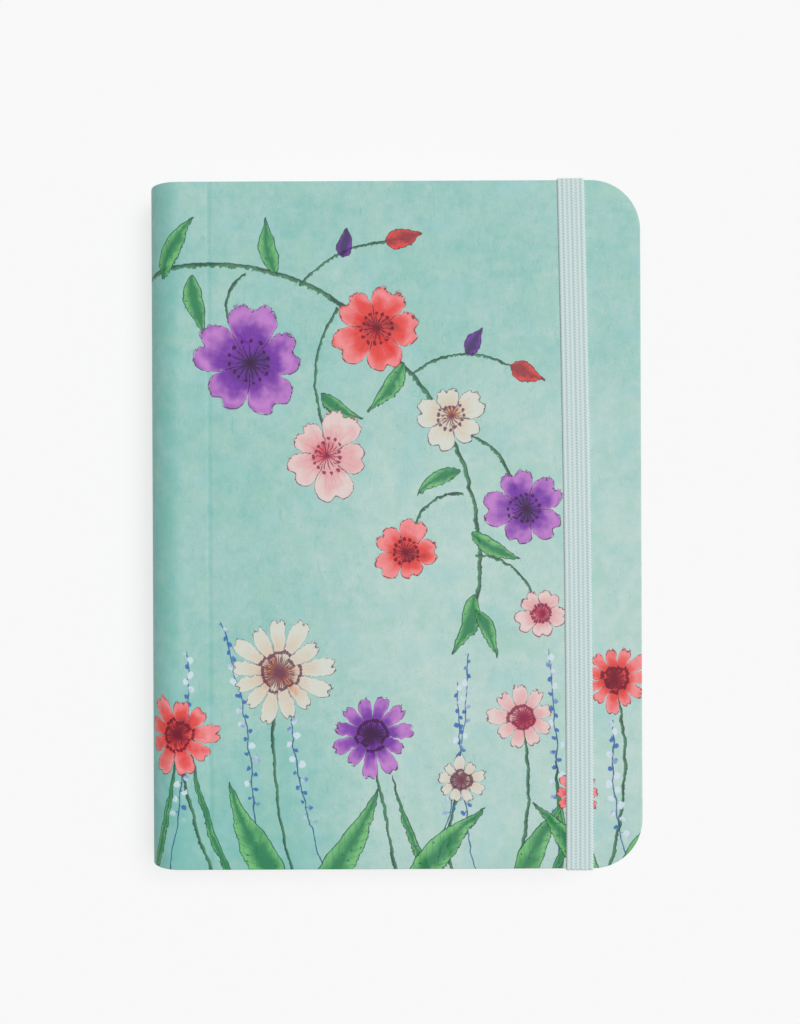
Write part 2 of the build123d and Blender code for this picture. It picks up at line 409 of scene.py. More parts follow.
def leaf_motif():
    # A pointed leaf with a midrib, side veins and an inked edge
    group, f = new_motif("leaf", ("Dark", "Light", "Ink"), (*aimed, "Width"))
    along, side = from_foot(f)
    along = along / f["Length"]
    hump = arch(along)
    side = side - hump * f["Bend"]
    half = hump ** 0.85 * along.less_from(1.25) * f["Width"]
    gap = half - abs(side)
    inside = gap.ramp(-0.06, 0.1) * hump.ramp(0.0, 0.05)
    tone = abs(side) / (half + 0.2) + f["Wash"] * 1.3 + along * 0.25
    wash = f["Dark"].mixed(f["Light"], tone.ramp(0.15, 1.05))
    veins = ((along * f["Length"] - abs(side) * 1.3) * 2.3).sine().ramp(0.8, 1.0) * 0.45
    rib = abs(side).ramp(0.3, 0.08)
    wash = wash.mixed(f["Dark"], veins.most(rib))
    flecks = f["Wobble"].ramp(0.16, 0.24)
    wash = wash.mixed(f["Ink"], flecks * 0.75)
    colour = f["Under"].mixed(wash, inside * 0.92)
    edge = abs(gap + f["Wobble"] * 0.5).ramp(0.22, 0.06) * hump.ramp(0.0, 0.04)
    close_motif(group, colour.mixed(f["Ink"], edge * 0.8))


def stem_motif():
    # A thin stalk along the arc of a circle
    group, f = new_motif(
        "stem",
        ("Light", "Dark"),
        ("Centre X", "Centre Y", "Radius", "Middle X", "Middle Y", "Half turn", "Width"),
    )
    across, up = from_centre(f)
    forward = across * f["Middle X"] + up * f["Middle Y"]
    sideways = up * f["Middle X"] - across * f["Middle Y"]
    reach = abs(sideways.math("ARCTAN2", forward)) / f["Half turn"]
    side = length(across, up) - f["Radius"]
    half = f["Width"] * (f["Wobble"] * 1.2 + 1.0)
    inside = (abs(side) / half).ramp(1.25, 0.75) * reach.ramp(1.02, 1.0)
    tone = (side / half + f["Wash"] * 3.0).ramp(-0.6, 0.7)
    wash = f["Light"].mixed(f["Dark"], tone)
    close_motif(group, f["Under"].mixed(wash, inside * 0.92))


def sprig_motif():
    # A fine stalk with a bead on alternate sides at every step
    group, f = new_motif("sprig", ("Bead", "Shine", "Stalk"), (*aimed, "Step"))
    along, side = from_foot(f)
    share = along / f["Length"]
    side = side - arch(share) * f["Bend"]
    reached = share.ramp(0.0, 0.01) * share.ramp(1.0, 0.99)
    stalk = abs(side).ramp(0.24, 0.1) * reached
    colour = f["Under"].mixed(f["Stalk"], stalk * 0.85)
    step = (along / f["Step"]).floor()
    hand = (step * 0.5).part() * 4 - 1
    own = chance(step + f["Foot X"])
    spread = share.less_from(1.3) * (own * 0.8 + 0.9)
    bead_x = along - (step + 0.5) * f["Step"]
    bead_y = side - hand * spread
    off = length(bead_x, bead_y) / (own * 0.45 + 0.5)
    past = abs(side) - spread
    twig = abs(bead_x + past * 0.5).ramp(0.2, 0.06) * past.ramp(0.0, -0.1)
    budding = share.ramp(0.3, 0.36) * share.ramp(1.0, 0.97)
    colour = colour.mixed(f["Stalk"], twig * budding * (side * hand).ramp(0.0, 0.05) * 0.8)
    bead = f["Bead"].mixed(f["Shine"], (own + f["Wash"] * 1.5).ramp(0.3, 0.75))
    close_motif(group, colour.mixed(bead, off.ramp(1.15, 0.8) * budding * 0.92))


# Colours of the printed design
mint_deep = ink(124, 188, 179)
mint_pale = ink(193, 214, 208)
mint_green = ink(156, 201, 185)
mint_blue = ink(164, 205, 205)
green_ink = ink(30, 62, 52)
stem_light = ink(74, 124, 92)
stem_dark = ink(36, 72, 58)
leaf_dark = ink(40, 122, 76)
leaf_light = ink(116, 188, 116)
rule_ink = ink(140, 170, 172)
bead_blue = ink(60, 108, 176)
bead_pale = ink(206, 222, 232)
stalk_blue = ink(44, 84, 138)


def flower(heart, petal, rim, outline):
    return dict(Heart=ink(*heart), Middle=ink(*petal), Rim=ink(*rim), Ink=ink(*outline))


violet = flower((60, 14, 92), (118, 36, 164), (194, 124, 202), (62, 26, 62))
coral = flower((150, 24, 42), (230, 62, 58), (242, 142, 146), (104, 20, 44))
blush = flower((214, 74, 92), (228, 172, 174), (226, 206, 202), (122, 30, 70))
cream = flower((214, 138, 84), (216, 204, 186), (214, 216, 206), (86, 40, 80))


def mint_ground(x, y):
    # Mottled mint: paler to the lower right, deeper in the lower left, with clouds, fibres, hairs and
    # specks, and with painted shade along the joint's crease and where the spine rounds away
    place = vector(x, y)
    clouds = noise(place, 0.055, 4.0, 0.55)
    patches = noise(place, 0.19, 3.0, 0.6)
    blots = noise(place, 0.5, 3.0, 0.6)
    fibres = noise(vector(x, y * 0.45), 1.1, 3.0, 0.65)
    grain = noise(place, 2.2, 2.0, 0.6)
    hairs = noise(vector(x * 1.5 + patches * 5.0, y * 0.13), 1.0, 1.0).ramp(0.22, 0.3)
    specks = noise(place, 1.7, 0.0).ramp(0.31, 0.36)
    drift = noise(place, 0.11, 2.0)
    glow = y.ramp(75.0, -10.0) * x.ramp(-35.0, 8.0)
    dusk = y.ramp(-45.0, -90.0) * x.ramp(-2.0, -30.0)
    # Painted shade: a thin darker line along the joint's crease, in place of the groove's shadow
    fold = abs(x - crease_x).ramp(0.9, 0.1)
    # Painted shade: the mint deepens where the spine rounds away from the light
    spine = x.ramp(-53.5, -58.5)
    tone = clouds * 0.4 + patches * 0.4 + blots * 0.24 + fibres * 0.16 + grain * 0.18
    tone = tone + glow * 0.27 - dusk * 0.26 - hairs * 0.16 - specks * 0.25 - fold * 0.12 - spine * 0.22
    ground = first_colour(x.tree(), mint_deep).mixed(mint_pale, tone.ramp(-0.42, 0.58))
    ground = ground.mixed(mint_green, drift.ramp(0.02, 0.25) * 0.4)
    ground = ground.mixed(mint_blue, drift.ramp(-0.02, -0.25) * 0.4)
    return ground, grain + fibres


def circle_through(start, via, end):
    # Centre and radius of the circle through three points
    (ax, ay), (bx, by), (cx, cy) = start, via, end
    twice = 2 * (ax * (by - cy) + bx * (cy - ay) + cx * (ay - by))
    a, b, c = ax * ax + ay * ay, bx * bx + by * by, cx * cx + cy * cy
    x = (a * (by - cy) + b * (cy - ay) + c * (ay - by)) / twice
    y = (a * (cx - bx) + b * (ax - cx) + c * (bx - ax)) / twice
    return x, y, math.hypot(ax - x, ay - y)


# Motifs of the design in painting order, each with the box that it stays in. Those of the meadow start
# beyond the foot edge, on the turned-in margin
design = []
foot_overrun = 7.0


def put(motif, spots, margin, **values):
    # A motif that stays within a margin of some places
    spots = np.array(spots)
    design.append((motif, spots.min(0) - margin, spots.max(0) + margin, values))


def tip(foot, direction, size):
    angle = math.radians(direction)
    return foot[0] + size * math.cos(angle), foot[1] + size * math.sin(angle)


def put_stem(start, via, end, width=0.42):
    x, y, radius = circle_through(start, via, end)
    half_turn = math.asin(min(1.0, math.dist(start, end) / 2 / radius))
    middle_x = (start[0] + end[0]) / 2 - x
    middle_y = (start[1] + end[1]) / 2 - y
    far = math.hypot(middle_x, middle_y)
    put(
        "stem", (start, via, end), 3.0, Centre_X=x, Centre_Y=y, Radius=radius, Middle_X=middle_x / far,
        Middle_Y=middle_y / far, Half_turn=half_turn, Width=width, Light=stem_light, Dark=stem_dark,
    )


def put_aimed(motif, foot, direction, size, bend, margin, **values):
    # A motif along a bent line from a foot
    along_x, along_y = tip((0, 0), direction, 1)
    put(
        motif, (foot, tip(foot, direction, size)), margin + abs(bend), Foot_X=foot[0], Foot_Y=foot[1],
        Along_X=along_x, Along_Y=along_y, Length=size, Bend=bend, **values,
    )


def put_leaf(foot, direction, size, width, bend, dark=leaf_dark, light=leaf_light, outline=green_ink):
    put_aimed(
        "leaf", foot, direction, size, bend, 1.3 * width + 1.5, Width=width, Dark=dark, Light=light,
        Ink=outline,
    )


def put_bud(foot, direction, size, colours):
    # A closed bud, drawn as a short leaf in a flower's colours
    put_leaf(foot, direction, size, size * 0.3, 0.0, colours["Heart"], colours["Middle"], colours["Ink"])


def put_sprig(foot, direction, size, bend):
    put_aimed(
        "sprig", foot, direction, size, bend, 4.0, Step=1.9, Bead=bead_blue, Shine=bead_pale,
        Stalk=stalk_blue,
    )


def put_blossom(centre, radius, colours, turn, petals=5, parting=0.5, notch=0.12):
    put(
        "blossom", (centre,), 1.1 * radius + 1.5, Centre_X=centre[0], Centre_Y=centre[1], Radius=radius,
        Turn=turn, Petals=petals, Parting=parting, Notch=notch, **colours,
    )


def put_daisy(centre, radius, colours, turn, petals=11):
    put_blossom(centre, radius, colours, turn, petals, 0.7, 0.06)


def lay_bough():
    # A bough that comes over the spine near the head and hangs down to the right
    put_stem((-76, 60), (-34, 66), (2, 42), 0.6)
    put_stem((2, 42), (17, 18), (21, -22), 0.5)
    put_stem((-38, 65), (-43, 56), (-37, 47), 0.38)
    put_stem((-14, 56), (-20, 42), (-17, 24), 0.38)
    put_stem((14, 24), (25, 20), (31, 9), 0.38)
    put_stem((18, 8), (10, 6), (5, -2), 0.34)
    put_stem((-24, 62), (-14, 70), (-2, 73), 0.34)
    put_stem((5, 39), (18, 44), (30, 41), 0.34)
    put_stem((21, -8), (29, -10), (36, -20), 0.34)
    for foot, direction, size, width, bend in (
        ((-60, 64), 62, 18, 3.1, 1.2),
        ((-52, 65), -76, 17, 2.8, -1.2),
        ((-30, 65), 100, 15, 2.7, 1.2),
        ((-19, 34), -30, 13, 2.3, -1.0),
        ((3, 42), -128, 16, 2.7, 1.2),
        ((17, 14), -150, 13, 2.3, -1.0),
        ((20, -2), -28, 15, 2.5, -1.0),
        ((21, -18), -112, 17, 2.7, 1.2),
        ((21, -22), -66, 14, 2.3, 0.8),
    ):
        put_leaf(foot, direction, size, width, bend)
    put_bud((-2, 73), 14, 10, coral)
    put_bud((-13, 69), 82, 8, violet)
    put_bud((30, 41), -22, 10, coral)
    put_bud((19, 44), 60, 8, violet)
    put_blossom((-37, 42), 16.0, violet, 0.06)
    put_blossom((-4, 51), 13.0, coral, 0.31)
    put_blossom((-17, 18), 12.0, blush, 0.12)
    put_blossom((15, 28), 9.0, cream, 0.42)
    put_blossom((34, 4), 11.0, violet, 0.2)
    put_blossom((3, -7), 8.6, coral, 0.5)
    put_blossom((38, -23), 7.4, blush, 0.33)


def lay_meadow():
    # Daisies, broad leaves, grass and beaded sprigs that come up over the foot edge
    edge = -half_height - foot_overrun
    for start, via, end in (
        ((-44, edge), (-52, -76), (-55, -56)),
        ((-24, edge), (-31, -66), (-30, -40)),
        ((2, edge), (-3, -74), (-6, -56)),
        ((16, edge), (14, -80), (17, -68)),
        ((29, edge), (34, -76), (33, -52)),
        ((42, edge), (44, -82), (47, -72)),
        ((52, edge), (59, -70), (57, -42)),
    ):
        put_stem(start, via, end)
    for foot, direction, size, bend in (
        ((-60, edge), 84, 64, -2.0),
        ((-36, edge), 97, 72, -3.0),
        ((-16, edge), 101, 62, 2.5),
        ((8, edge), 80, 64, -2.5),
        ((22, edge), 96, 56, 1.5),
        ((42, edge), 92, 64, -1.0),
        ((62, edge), 97, 46, 2.0),
    ):
        put_sprig(foot, direction, size, bend)
    for foot, direction, size, bend in (
        ((-66, edge), 76, 40, -1.5),
        ((-40, edge), 108, 42, 2.0),
        ((12, edge), 112, 34, 1.5),
        ((38, edge), 74, 40, -2.0),
        ((49, edge), 102, 36, 1.6),
    ):
        put_leaf(foot, direction, size, 1.1, bend)
    put_daisy((-30, -38), 14.5, cream, 0.02, 13)
    put_daisy((57, -40), 9.4, coral, 0.04)
    for foot, direction, size, width, bend in (
        ((-27, edge), 118, 34, 4.8, 2.0),
        ((-22, edge), 58, 33, 4.6, -2.0),
        ((3, edge), 48, 31, 4.4, 1.6),
        ((31, edge), 62, 28, 3.8, 1.4),
        ((53, edge), 126, 30, 4.0, -1.6),
        ((58, edge), 66, 22, 3.0, 1.0),
    ):
        put_leaf(foot, direction, size, width, bend)
    put_daisy((-56, -54), 11.0, coral, 0.05, 9)
    put_daisy((-6, -54), 11.5, violet, 0.03)
    put_daisy((17, -66), 6.6, cream, 0.02, 9)
    put_daisy((33, -50), 9.2, blush, 0.01, 9)
    put_daisy((47, -70), 6.2, coral, 0.03, 9)


# Areas of the sheet, each with its own part of the design: edges across, from the spine to the
# fore-edge, and edges up. What lies before the first edge across is plain
area_across = (-80.0, -2.0)
area_up = (-37.0, 25.0)
area_margin = 2.5
far_off = 200.0


def print_area(prints):
    # The number of the area that a face of the sheet lies in
    u, v = prints.mean(1).T
    across = np.digitize(u, area_across)
    up = np.digitize(v, area_up)
    return np.where(across == 0, 0, 1 + (across - 1) * (len(area_up) + 1) + up)


def area_boxes():
    # Lowest and highest corner of every area but the plain one, in the order of their numbers
    across = (*area_across, far_off)
    up = (-far_off, *area_up, far_off)
    for left, right in zip(across, across[1:]):
        for low, high in zip(up, up[1:]):
            yield np.array((left, low)) - area_margin, np.array((right, high)) + area_margin


def paint(tree, motif, **values):
    # One motif over the colour so far
    node = tree.nodes.new("ShaderNodeGroup")
    node.node_tree = bpy.data.node_groups[motif]
    fill(node, **values)
    return Field(node.outputs["Over"])


def printed_material(name, low, high):
    # Satin paper with the part of the design that reaches into a box
    material, shader, tree = new_material(name, 0.5)
    x, y = printed_place(tree)
    place = vector(x, y)
    wash = noise(place, 0.17, 2.0, 0.55)
    wobble = noise(place, 0.85, 2.0, 0.6)
    colour, relief = mint_ground(x, y)
    shared = dict(X=x + wash * 1.8, Y=y + wobble * 1.2, Wash=wash, Wobble=wobble)
    for motif, motif_low, motif_high, values in design:
        if np.all(motif_low < high) and np.all(motif_high > low):
            colour = paint(tree, motif, Under=colour, **shared, **values)
    fill(shader, Specular_IOR_Level=0.15)
    set_surface(shader, colour, relief, 0.03)
    return material


def entry_rules(x, y):
    # Ruled lines for the entries, heavier under every fourth
    line = y / rule_pitch
    off = abs(line.part() - 0.5) * rule_pitch
    entry = abs((line / 4).part() - 0.5) * 4 * rule_pitch
    across = x.ramp(ruled_left, ruled_left + print_fade) * x.ramp(ruled_right + print_fade, ruled_right)
    within = across * abs(y).ramp(ruled_half + print_fade, ruled_half)
    return (off.ramp(0.16, 0.08) * 0.6).most(entry.ramp(0.3, 0.2)) * within


def paper_material(name, colour, shade, ruled=False):
    # Uncoated paper with short fibres, and with rules for a page or soft clouds for another sheet
    material, shader, tree = new_material(name, 0.85)
    x, y, z = solid_place(tree)
    fibres = noise(vector(x * 0.5 + z, y * 2.2), 1.3, 3.0, 0.65)
    tone = fibres.ramp(0.0, 0.35) * 0.5
    base = first_colour(tree, colour)
    if ruled:
        base = base.mixed(shade, tone).mixed(rule_ink, entry_rules(x, y) * 0.8)
    else:
        clouds = noise(vector(x, y + z * 3.1), 0.08, 3.0)
        base = base.mixed(shade, clouds.ramp(-0.1, 0.35) * 0.4 + tone)
    set_surface(shader, base, fibres, 0.03)
    return material


def board_material(name, colour, fleck):
    # Pulp board with flecks
    material, shader, tree = new_material(name, 0.9)
    x, y, z = solid_place(tree)
    flecks = noise(vector(x + z * 0.7, y + z * 1.3), 1.1, 4.0, 0.7)
    base = first_colour(tree, colour)
    set_surface(shader, base.mixed(fleck, flecks.ramp(0.0, 0.28)), flecks, 0.05)
    return material


def gauze_material():
    # Open cotton weave over glue
    material, shader, tree = new_material("gauze", 0.9)
    x, y, z = solid_place(tree)
    warp = abs((y * 1.4).part() - 0.5).ramp(0.3, 0.1)
    weft = abs(((x + z) * 1.4).part() - 0.5).ramp(0.3, 0.1)
    weave = warp.most(weft)
    base = first_colour(tree, ink(196, 182, 150))
    set_surface(shader, base.mixed(ink(236, 232, 220), weave), weave, 0.08)
    return material


def divider_material(name, tint, page_edge):
    # Index card whose tab is tinted
    material, shader, tree = new_material(name, 0.7)
    x, y, z = solid_place(tree)
    fibres = noise(vector(x * 0.6 + z, y * 1.8), 1.2, 3.0, 0.65)
    base = first_colour(tree, ink(238, 236, 226))
    base = base.mixed(ink(206, 204, 196), fibres.ramp(0.0, 0.35) * 0.4)
    base = base.mixed(rule_ink, entry_rules(x, y) * 0.8)
    tint_from = page_edge - tint_lap
    base = base.mixed(tint, x.ramp(tint_from, tint_from + print_fade))
    set_surface(shader, base, fibres, 0.03)
    return material


def headband_material():
    # Cloth wound in stripes of two colours
    material, shader, tree = new_material("headband_cloth", 0.85)
    along, around = printed_place(tree)
    stripes = abs((along * 0.5).part() - 0.5).ramp(0.2, 0.3)
    threads = (along * 14.0 + around * 6.0).sine()
    base = first_colour(tree, ink(236, 236, 228))
    set_surface(shader, base.mixed(ink(104, 170, 158), stripes), threads, 0.05)
    return material


def elastic_material():
    # Knitted elastic: pale yarn in slanting stitches along the ribs, with a painted highlight on each
    # stitch and painted shade between the stitches, both bolder on every second rib, and shade between
    # the ribs
    material, shader, tree = new_material("elastic_knit", 0.75)
    share, along = printed_place(tree)
    zigzag = (share * elastic_ribs).math("PINGPONG", 1.0)
    stitch = ((along / stitch_pitch + zigzag * stitch_slant) * (2 * math.pi)).sine()
    bold = (share * (elastic_ribs / 2)).part().ramp(0.4, 0.6)
    valley = abs(zigzag - 0.5).ramp(0.08, 0.42) * (share * share.less_from(1.0)).ramp(0.03, 0.09)
    yarn = noise(vector(share * 9.0, along * 2.5), 2.0, 2.0, 0.6)
    base = first_colour(tree, ink(208, 222, 221))
    base = base.mixed(ink(190, 209, 209), yarn.ramp(0.0, 0.3) * 0.5)
    # Painted highlight on the crest of each stitch, and on the next line painted shade in the gaps
    # between stitches
    base = base.mixed(ink(222, 232, 231), stitch.ramp(0.0, 0.8) * (bold * 0.4 + 0.4))
    base = base.mixed(ink(172, 200, 200), stitch.ramp(0.2, -0.8) * (bold * 0.32 + 0.18))
    base = base.mixed(ink(142, 180, 180), valley * (zigzag * 0.14 + 0.36))
    fill(shader, Sheen_Weight=0.2)
    set_surface(shader, base, yarn, 0.06)
    return material


# Meshes

def new_object(name, data):
    item = bpy.data.objects.new(name, data)
    bpy.context.collection.objects.link(item)
    return item


def new_piece(name, points, faces, materials, prints=None, closed=True):
    # An object with its places on the unrolled surface and, if it is closed, its faces turned outward
    mesh = bpy.data.meshes.new(name)
    mesh.from_pydata((np.asarray(points) * MM).tolist(), [], faces)
    if prints is not None:
        layer = mesh.uv_layers.new(name="print")
        corners = np.zeros(len(mesh.loops), int)
        mesh.loops.foreach_get("vertex_index", corners)
        layer.uv.foreach_set("vector", np.asarray(prints, float)[corners].ravel())
    if closed:
        work = bmesh.new()
        work.from_mesh(mesh)
        bmesh.ops.recalc_face_normals(work, faces=work.faces)
        work.to_mesh(mesh)
        work.free()
    mesh.shade_smooth()
    mesh.set_sharp_from_angle(angle=math.radians(40))
    for material in materials:
        mesh.materials.append(material)
    return new_object(name, mesh)


def strip_faces(line, beyond):
    # Faces between two lines of points
    return [[a, b, d, c] for a, b, c, d in zip(line, line[1:], beyond, beyond[1:])]


def loft(rings):
    # A skin over rings of equal length, with both ends capped
    rings = np.asarray(rings, float)
    count, size = rings.shape[:2]
    index = np.arange(count * size).reshape(count, size).tolist()
    faces = [index[0], index[-1][::-1]]
    for lower, upper in zip(index, index[1:]):
        faces += strip_faces((*lower, lower[0]), (*upper, upper[0]))
    return rings.reshape(-1, 3), faces


def plate(near, far, half):
    # A thin sheet between two lines of (x, z), as wide as half says on both sides of the middle
    rings = []
    for (near_x, near_z), (far_x, far_z), y in zip(near, far, half):
        rings.append(((near_x, -y, near_z), (near_x, y, near_z), (far_x, y, far_z), (far_x, -y, far_z)))
    return loft(rings)


def level_plate(x, lower, upper, half):
    # A thin sheet between two levels over one line of x
    near, far = (np.stack(np.broadcast_arrays(x, level), 1) for level in (lower, upper))
    return plate(near, far, half)


def joined(parts):
    # Several skins as one
    points, faces, start = [], [], 0
    for part_points, part_faces in parts:
        points.append(part_points)
        faces.extend([[place + start for place in face] for face in part_faces])
        start += len(part_points)
    return np.concatenate(points), faces


def grid_faces(index):
    # Faces of a grid of points
    return [face for here, beyond in zip(index, index[1:]) for face in strip_faces(here, beyond)]


# Printed sheet of one cover

def cover_columns():
    # Spine angle, flat place and corner angle of every column, from mid-spine to the fore-edge
    spine = np.pi / 2 * np.linspace(0, 1, 37) ** 1.4
    fine_from = band_x - 6
    stops = (spine_x, crease_x - groove_half, crease_x + groove_half, fine_from, corner_x)
    counts = (6, 33, 24, 69)
    flat = np.concatenate([np.linspace(*run)[1:] for run in zip(stops, stops[1:], counts)])
    corner = np.pi / 2 * np.linspace(0, 1, 33)[1:] ** 2
    angle = np.concatenate((spine, np.full(len(flat) + len(corner), np.pi / 2)))
    place = np.concatenate((np.full(len(spine), spine_x), flat, np.full(len(corner), corner_x)))
    turn = np.concatenate((np.zeros(len(spine) + len(flat)), corner))
    return angle, place, turn


column_angle, column_place, column_turn = cover_columns()
cover_rows = np.linspace(-1, 1, 45)


def cover_point(inset, depth):
    # Place of every column at an inset from the outline and a depth under the outer face
    off = (column_place - crease_x) / groove_half
    groove = groove_depth * np.maximum(0, 1 - off**2) ** 2
    lift = spine_radius - depth - groove * (1 - depth / cover_thickness)
    reach = corner_radius - inset
    x = column_place - lift * np.cos(column_angle) + reach * np.sin(column_turn)
    y = corner_y + reach * np.cos(column_turn)
    return x, y, lift * np.sin(column_angle)


def print_point(out):
    # The same on the flat sheet, out past the edge of the outer face
    reach = corner_radius - edge_round + out
    x = column_place - spine_radius * (np.pi / 2 - column_angle) + reach * np.sin(column_turn)
    return x, corner_y + reach * np.cos(column_turn)


def cover_grid(inset, depth):
    # One whole face of the sheet, column by column
    x, y, z = cover_point(inset, depth)
    u, v = print_point(edge_round - inset)
    rows = len(cover_rows)
    points = np.stack((np.repeat(x, rows), np.outer(y, cover_rows).ravel(), np.repeat(z, rows)), 1)
    prints = np.stack((np.repeat(u, rows), np.outer(v, cover_rows).ravel()), 1)
    return points, prints


def cover_loop(inset, depth, out, room):
    # One line round the head, the fore-edge and the foot, no deeper than the room for it
    u, v = print_point(out)
    inner_rows = cover_rows[-2:0:-1]
    points, prints = [], []
    for side in (1, -1):
        x, y, z = cover_point(inset, np.minimum(depth, room))
        order = slice(None, None, side)
        points.append(np.stack((x, side * y, z), 1)[order])
        prints.append(np.stack((u, side * v), 1)[order])
        if side == 1:
            edge = np.ones(len(inner_rows))
            points.append(np.stack((x[-1] * edge, y[-1] * inner_rows, z[-1] * edge), 1))
            prints.append(np.stack((u[-1] * edge, v[-1] * inner_rows), 1))
    return np.concatenate(points), np.concatenate(prints)


def edge_profile():
    # Inset and depth of the lines round the board's edge and along the turned-in margin
    lines = []
    for turn in np.radians((22.5, 45, 67.5, 90)):
        lines.append((edge_round * (1 - math.sin(turn)), edge_round * (1 - math.cos(turn))))
    for turn in np.radians((0, 30, 60, 90)):
        inset = edge_round * (1 - math.cos(turn))
        lines.append((inset, cover_thickness - edge_round * (1 - math.sin(turn))))
    lines.append((turn_in, cover_thickness))
    lines.append((turn_in, cover_thickness - wrap))
    lines.append((wrap, cover_thickness - wrap))
    return lines


def grid_edge(start):
    # Indices of a grid's points along the head, the fore-edge and the foot
    columns, rows = len(column_place), len(cover_rows)
    index = start + np.arange(columns * rows).reshape(columns, rows)
    return [*index[:, -1], *index[-1, -2:0:-1], *index[::-1, 0]], index


def cover_sheet(name, level, materials, room):
    # Printed paper over one cover and half of the spine: level is 1 for the front and -1 for the back
    points, prints = cover_grid(edge_round, 0.0)
    line, index = grid_edge(0)
    faces = [[a, d, c, b] for a, b, c, d in grid_faces(index)]
    out, last = 0.0, (edge_round, 0.0)
    for inset, depth in edge_profile():
        out += math.dist(last, (inset, depth))
        last = (inset, depth)
        loop_points, loop_prints = cover_loop(inset, depth, out, room)
        next_line = list(range(len(points), len(points) + len(loop_points)))
        points, prints = np.concatenate((points, loop_points)), np.concatenate((prints, loop_prints))
        faces += strip_faces(line, next_line)
        line = next_line
    under_points, under_prints = cover_grid(wrap, wrap)
    under_line, under = grid_edge(len(points))
    points, prints = np.concatenate((points, under_points)), np.concatenate((prints, under_prints))
    faces += strip_faces(line, under_line)
    faces += grid_faces(under)
    points[:, 2] = middle + level * points[:, 2]
    if level < 0:
        seam = spine_x - spine_radius * np.pi / 2
        prints[:, 0] = 2 * seam - prints[:, 0]
        faces = [face[::-1] for face in faces]
    faces = np.array(faces)
    piece = new_piece(name, points, faces.tolist(), materials, prints, closed=False)
    piece.data.polygons.foreach_set("material_index", print_area(prints[faces]))
    return piece


def elastic_room():
    # Depth left for the back sheet's edge where the elastic leaves the cover
    edge_x = column_place + corner_radius * np.sin(column_turn)
    off = np.abs(edge_x - band_x) - band_width / 2
    share = np.clip((off - notch_gap) / notch_run, 0, 1)
    low = tail_low[2] - 2 * fit
    return low + (cover_thickness - low) * share


# Leaves

def leaf_line(left, right, left_stops):
    # Columns of a leaf: places near the gutter, then the body and the rounded corners at the fore-edge
    turns = np.linspace(0, np.pi / 2, 9)
    ends = right - leaf_corner + leaf_corner * np.sin(turns)
    cut = np.concatenate((np.zeros(len(left_stops)), leaf_corner * (1 - np.cos(turns))))
    half = node_box("front_flyleaf")[1][1] - cut
    return np.concatenate((left + np.asarray(left_stops), ends)), half


def section_plies(pair):
    # Lower and upper level of every sheet of one section and, last, of its divider
    low, high = node_box("pages_" + pair)
    step = (high[2] - low[2]) / sheets_in_section
    plies = [[low[2] + (n + share) * step for share in sheet_span] for n in range(sheets_in_section)]
    card_low, card_high = node_box("divider_" + pair)
    return [*plies, (card_low[2], card_high[2])]


def ply_trim(number, level):
    # How much shorter one sheet was cut than the next
    return head_trim * (1 - math.sin(5.1 * number + 2.3 * level))


def section_sheets(pair, material):
    # The separate sheets of one section, drawn together at the fold so that they can fan out
    right = node_box("pages_" + pair)[1][0]
    card_left = node_box("divider_" + pair)[0][0]
    fold, turn = leaf_fold(pair)

    def drawn(level, x):
        return fold + (level - fold) * np.interp(x, (crease_x, card_left), (math.cos(turn), 1.0))

    x, half = leaf_line(crease_x, right, (0.0, 0.4, 1.2, 2.1, 3.0, 20.0, 60.0))
    *plies, card = section_plies(pair)
    sheets = []
    for number, (lower, upper) in enumerate(plies):
        trim = fore_trim * math.sin(7.3 * number + 3.1 * fold)
        edge = x + np.where(x > right - leaf_corner - 1, trim - fore_trim, 0)
        width = half - ply_trim(number, fold)
        sheets.append(level_plate(edge, drawn(lower, x), drawn(upper, x), width))
    if pair != index_pairs[0]:
        root = np.array((crease_x + root_gap, card_left - fit))
        sheets.append(level_plate(root, drawn(card[0], root), drawn(card[1], root), half[:2]))
    piece = new_piece("sheets_" + pair, *joined(sheets), [material])
    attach(piece, "leaves_" + pair)
    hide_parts("pages_" + pair)


def gutter_sheets(material):
    # The folded backs of all the sections, sheet by sheet, with a round fold behind each section
    low, high = node_box("sewn_gutter")
    fly_right = node_box("front_flyleaf")[1][0]
    tucks = [fly_right - node_box("pages_" + pair)[1][0] for pair in index_pairs]
    back = low[0] + fold_lobe + max(tucks)
    sheets = []
    for lower, upper in ((low[2], low[2] + endpaper_ply), (high[2] - endpaper_ply, high[2])):
        line = (back - tucks[0], crease_x - endpaper_gap)
        sheets.append(level_plate(line, lower, upper, (high[1], high[1])))
    for pair, tuck in zip(index_pairs, tucks):
        fold, turn = leaf_fold(pair)
        for number, (lower, upper) in enumerate(section_plies(pair)):
            swing = sheet_swing if number < sheets_in_section else card_swing
            bow = 1 - (2 * ((lower + upper) / 2 - fold)) ** 2
            gap = fold_gap + swing * math.sin(turn) * math.cos(turn)
            line = (back - tuck - fold_lobe * bow, crease_x - gap)
            half = high[1] - ply_trim(number, fold)
            sheets.append(level_plate(line, lower, upper, (half, half)))
    piece = new_piece("gutter_sheets", *joined(sheets), [material])
    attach(piece, "case")
    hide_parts("sewn_gutter")


def flyleaf_sheet(material):
    # The free endpaper, with a shallow dip beside its fold
    low, high = node_box("front_flyleaf")
    stops = (0.0, 0.4, 0.8, 1.2, 1.6, 2.0, 2.6, 3.4, 4.4, dip_width, 30.0, 60.0)
    x, half = leaf_line(low[0], high[0], stops)
    off = np.clip((x - low[0]) / dip_width, 0, 1)
    dip = dip_depth * np.sin(np.pi * off ** 0.6) ** 2
    piece = new_piece("flyleaf_sheet", *level_plate(x, low[2] - dip, high[2] - dip, half), [material])
    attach(piece, "flyleaf")
    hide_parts("front_flyleaf")


